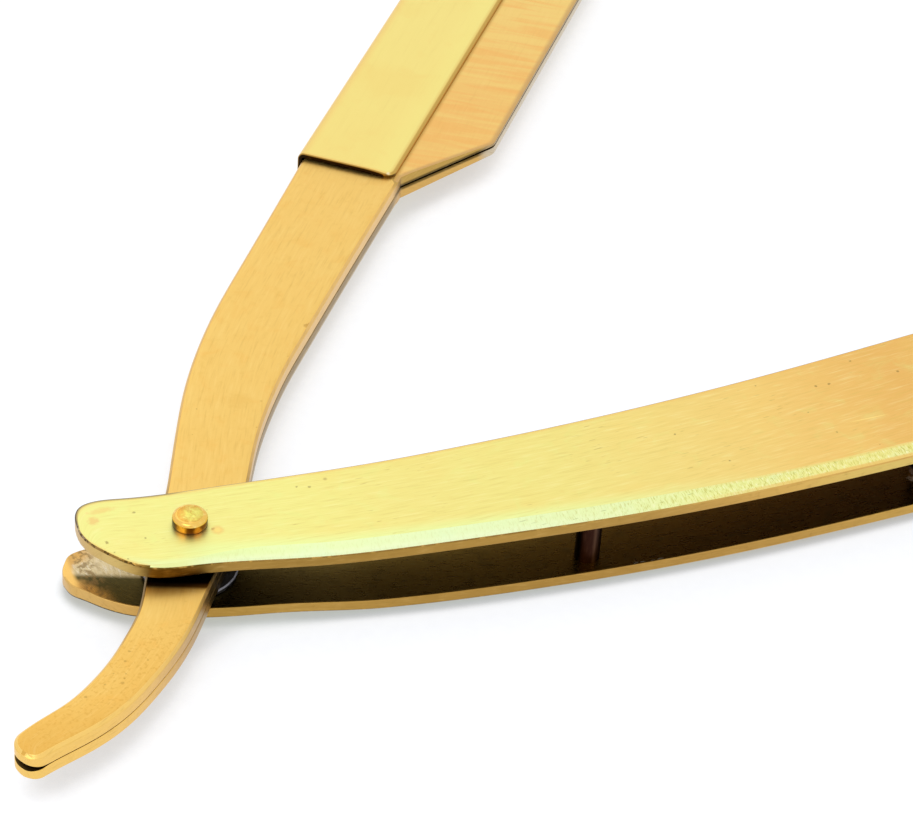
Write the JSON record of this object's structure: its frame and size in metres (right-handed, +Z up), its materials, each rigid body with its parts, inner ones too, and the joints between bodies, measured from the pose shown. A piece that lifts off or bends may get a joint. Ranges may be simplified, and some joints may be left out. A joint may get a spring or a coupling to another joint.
{
  "type": "folding razor",
  "caption": "All-metal folding razor, half open: a two-part arm with a spine clip and blade jaws turns on a rivet between two curved scales.",
  "frame": {"origin": "centre of the flat face of the pivot rivet's lower head, on which the razor rests", "axes": "+Z up along the pivot's axis, +X along the handle from the pivot towards its butt, +Y towards the handle's back edge; the arm's long axis stands 50.5 degrees from +X towards +Y"},
  "size_m": [0.1576, 0.1251, 0.009],
  "materials": {
    "scale_gold": "brushed, gold plated",
    "arm_gold": "satin, gold plated",
    "clip_gold": "smooth, pale gold plated",
    "rivet_gold": "polished",
    "pin_metal": "dull",
    "washer_nylon": "milky"
  },
  "bodies": {
    "handle": {"upper_scale": "scale_gold", "lower_scale": "scale_gold", "pivot_rivet": "rivet_gold", "upper_washer": "washer_nylon", "lower_washer": "washer_nylon", "spacer_pin": "pin_metal", "heel_stop_pin": "pin_metal", "butt_pin": "pin_metal"},
    "upper_arm": {"upper_arm_half": "arm_gold"},
    "holder": {"lower_arm_half": "arm_gold", "spine_clip": "clip_gold", "blade_stud_heel": "rivet_gold", "blade_stud_toe": "rivet_gold"}
  },
  "joints": [
    {"name": "fold", "type": "hinge", "parent": "handle", "child": "upper_arm", "pos_m": [0, 0, 0.0045], "axis": [0, 0, 1], "range_deg": [-50.4, 225]},
    {"name": "jaw_swing", "type": "hinge", "parent": "upper_arm", "child": "holder", "pos_m": [0, 0, 0.0045], "axis": [0, 0, 1], "range_deg": [0, 45]}
  ]
}
